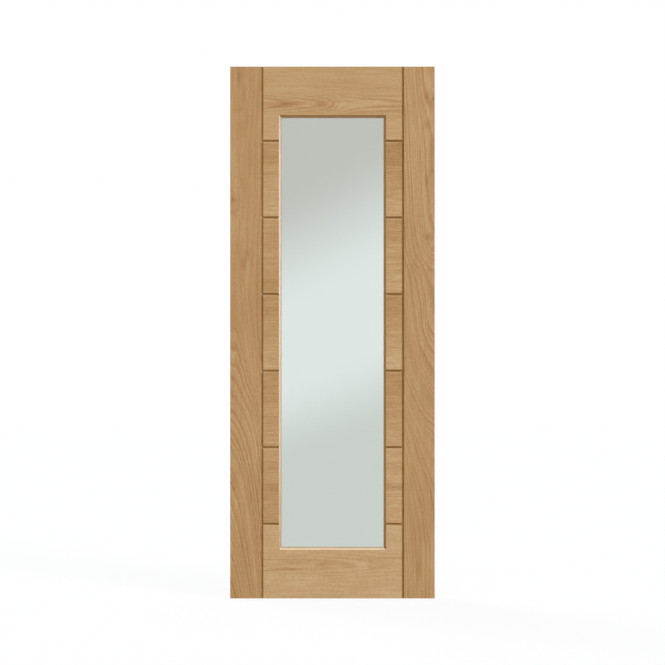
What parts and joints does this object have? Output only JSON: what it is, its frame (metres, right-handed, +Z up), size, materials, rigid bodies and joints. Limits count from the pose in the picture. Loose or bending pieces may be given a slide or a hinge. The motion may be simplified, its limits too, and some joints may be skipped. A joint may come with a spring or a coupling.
{
  "type": "glazed interior door leaf",
  "caption": "Oak interior door leaf with full-height stiles, V-grooved horizontal boards and one tall clear glass light held by bevelled beads.",
  "frame": {"origin": "foot of the left long edge, at mid-thickness, on the plane of that edge", "axes": "+X across the leaf from the left edge to the right, +Y through it from the front face to the back, +Z up"},
  "size_m": [0.762, 0.035, 1.981],
  "materials": {
    "stile_oak": "oak veneer with upright grain, clear satin lacquer",
    "board_oak": "oak veneer with level grain, clear satin lacquer",
    "bead_oak": "solid oak moulding, clear satin lacquer",
    "clear_glass": "clear toughened float glass"
  },
  "bodies": {
    "root": {"back_bead_bottom": "bead_oak", "back_bead_left": "bead_oak", "back_bead_right": "bead_oak", "back_bead_top": "bead_oak", "bottom_rail": "board_oak", "front_bead_bottom": "bead_oak", "front_bead_left": "bead_oak", "front_bead_right": "bead_oak", "front_bead_top": "bead_oak", "glass_pane": "clear_glass", "left_board_1": "board_oak", "left_board_2": "board_oak", "left_board_3": "board_oak", "left_board_4": "board_oak", "left_board_5": "board_oak", "left_lipping": "stile_oak", "left_stile": "stile_oak", "right_board_1": "board_oak", "right_board_2": "board_oak", "right_board_3": "board_oak", "right_board_4": "board_oak", "right_board_5": "board_oak", "right_lipping": "stile_oak", "right_stile": "stile_oak", "top_rail": "board_oak"}
  },
  "joints": []
}
